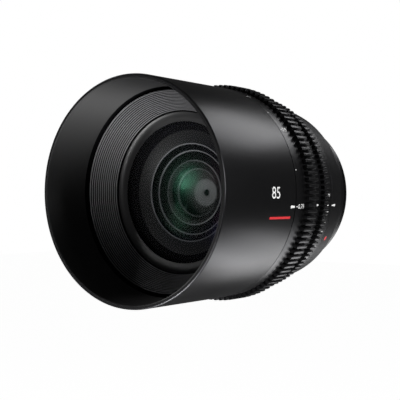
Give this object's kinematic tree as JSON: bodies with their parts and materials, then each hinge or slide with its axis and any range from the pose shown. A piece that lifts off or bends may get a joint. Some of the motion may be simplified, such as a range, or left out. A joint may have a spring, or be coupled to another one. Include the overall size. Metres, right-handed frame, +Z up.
{
  "type": "cinema prime lens",
  "caption": "Cinema prime lens with a deep front barrel, geared focus and iris rings, a cam driven sliding optical block, a working blade iris and a bayonet mount.",
  "frame": {"origin": "centre of the bayonet flange seat, on the optical axis", "axes": "+Y along the optical axis towards the camera, the front of the lens towards -Y, +Z up, +X the side with the index marks"},
  "size_m": [0.0912, 0.1172, 0.0912],
  "materials": {
    "black_anodised_aluminium": "satin",
    "matt_black_aluminium": "matt",
    "bare_aluminium": "turned",
    "brass": "turned",
    "chromed_brass": "satin",
    "steel": "blackened",
    "blackened_steel": "matt",
    "coated_glass": "polished and coated"
  },
  "bodies": {
    "barrel": {"front_barrel": "black_anodised_aluminium", "guide_tube": "bare_aluminium", "barrel_screws": "steel", "rear_barrel": "black_anodised_aluminium", "rear_barrel_screws": "steel", "iris_retainer": "bare_aluminium", "focus_stop_pin": "steel", "mount_tube": "black_anodised_aluminium", "mount_shim": "brass", "bayonet_mount": "chromed_brass", "mount_screws": "steel", "rear_baffle": "matt_black_aluminium"},
    "focus": {"focus_ring": "black_anodised_aluminium", "cam_sleeve": "brass", "sleeve_screws": "steel"},
    "optical_block": {"block_tube": "matt_black_aluminium", "ridged_front_ring": "matt_black_aluminium", "front_cell": "matt_black_aluminium", "front_retaining_ring": "matt_black_aluminium", "front_element": "coated_glass", "second_retaining_ring": "matt_black_aluminium", "second_element": "coated_glass", "third_retaining_ring": "matt_black_aluminium", "third_element": "coated_glass", "iris_housing": "matt_black_aluminium", "iris_cover": "matt_black_aluminium", "rear_cell": "matt_black_aluminium", "rear_cell_screws": "steel", "fourth_element": "coated_glass", "fourth_retaining_ring": "matt_black_aluminium", "fifth_element": "coated_glass", "rear_spacer": "matt_black_aluminium", "sixth_element": "coated_glass", "rear_retaining_ring": "matt_black_aluminium", "follower_bushes": "brass", "follower_screws": "steel"},
    "iris": {"iris_ring": "black_anodised_aluminium", "iris_fork": "bare_aluminium", "fork_screws": "steel"},
    "iris_drive": {"iris_drive_ring": "bare_aluminium", "iris_lever": "bare_aluminium", "lever_screw": "steel"},
    "blade_1": {"iris_blade_1": "blackened_steel"},
    "blade_2": {"iris_blade_2": "blackened_steel"},
    "blade_3": {"iris_blade_3": "blackened_steel"},
    "blade_4": {"iris_blade_4": "blackened_steel"},
    "blade_5": {"iris_blade_5": "blackened_steel"},
    "blade_6": {"iris_blade_6": "blackened_steel"},
    "blade_7": {"iris_blade_7": "blackened_steel"},
    "blade_8": {"iris_blade_8": "blackened_steel"},
    "blade_9": {"iris_blade_9": "blackened_steel"},
    "blade_10": {"iris_blade_10": "blackened_steel"}
  },
  "joints": [
    {"name": "focus_turn", "type": "hinge", "parent": "barrel", "child": "focus", "pos_m": [0, 0, 0], "axis": [0, 1, 0], "range_deg": [0, 270]},
    {"name": "block_slide", "type": "slide", "parent": "barrel", "child": "optical_block", "axis": [0, 1, 0], "range_m": [0, 0.012]},
    {"name": "iris_turn", "type": "hinge", "parent": "barrel", "child": "iris", "pos_m": [0, 0, 0], "axis": [0, -1, 0], "range_deg": [0, 72]},
    {"name": "iris_drive_turn", "type": "hinge", "parent": "optical_block", "child": "iris_drive", "pos_m": [0, 0, 0], "axis": [0, -1, 0], "range_deg": [0, 72]},
    {"name": "blade_1_turn", "type": "hinge", "parent": "optical_block", "child": "blade_1", "pos_m": [0.01472, -0.06355, 0], "axis": [0, -1, 0], "range_deg": [0, 36]},
    {"name": "blade_2_turn", "type": "hinge", "parent": "optical_block", "child": "blade_2", "pos_m": [0.01191, -0.06355, 0.00865], "axis": [0, -1, 0], "range_deg": [0, 36]},
    {"name": "blade_3_turn", "type": "hinge", "parent": "optical_block", "child": "blade_3", "pos_m": [0.00455, -0.06355, 0.014], "axis": [0, -1, 0], "range_deg": [0, 36]},
    {"name": "blade_4_turn", "type": "hinge", "parent": "optical_block", "child": "blade_4", "pos_m": [-0.00455, -0.06355, 0.014], "axis": [0, -1, 0], "range_deg": [0, 36]},
    {"name": "blade_5_turn", "type": "hinge", "parent": "optical_block", "child": "blade_5", "pos_m": [-0.01191, -0.06355, 0.00865], "axis": [0, -1, 0], "range_deg": [0, 36]},
    {"name": "blade_6_turn", "type": "hinge", "parent": "optical_block", "child": "blade_6", "pos_m": [-0.01472, -0.06355, 0], "axis": [0, -1, 0], "range_deg": [0, 36]},
    {"name": "blade_7_turn", "type": "hinge", "parent": "optical_block", "child": "blade_7", "pos_m": [-0.01191, -0.06355, -0.00865], "axis": [0, -1, 0], "range_deg": [0, 36]},
    {"name": "blade_8_turn", "type": "hinge", "parent": "optical_block", "child": "blade_8", "pos_m": [-0.00455, -0.06355, -0.014], "axis": [0, -1, 0], "range_deg": [0, 36]},
    {"name": "blade_9_turn", "type": "hinge", "parent": "optical_block", "child": "blade_9", "pos_m": [0.00455, -0.06355, -0.014], "axis": [0, -1, 0], "range_deg": [0, 36]},
    {"name": "blade_10_turn", "type": "hinge", "parent": "optical_block", "child": "blade_10", "pos_m": [0.01191, -0.06355, -0.00865], "axis": [0, -1, 0], "range_deg": [0, 36]}
  ],
  "couplings": [
    {"joint": "block_slide", "follows": "focus_turn", "m_per_rad": 0.0025465},
    {"joint": "iris_drive_turn", "follows": "iris_turn", "ratio": 1},
    {"joint": "blade_1_turn", "follows": "iris_turn", "ratio": 0.5},
    {"joint": "blade_2_turn", "follows": "iris_turn", "ratio": 0.5},
    {"joint": "blade_3_turn", "follows": "iris_turn", "ratio": 0.5},
    {"joint": "blade_4_turn", "follows": "iris_turn", "ratio": 0.5},
    {"joint": "blade_5_turn", "follows": "iris_turn", "ratio": 0.5},
    {"joint": "blade_6_turn", "follows": "iris_turn", "ratio": 0.5},
    {"joint": "blade_7_turn", "follows": "iris_turn", "ratio": 0.5},
    {"joint": "blade_8_turn", "follows": "iris_turn", "ratio": 0.5},
    {"joint": "blade_9_turn", "follows": "iris_turn", "ratio": 0.5},
    {"joint": "blade_10_turn", "follows": "iris_turn", "ratio": 0.5}
  ]
}
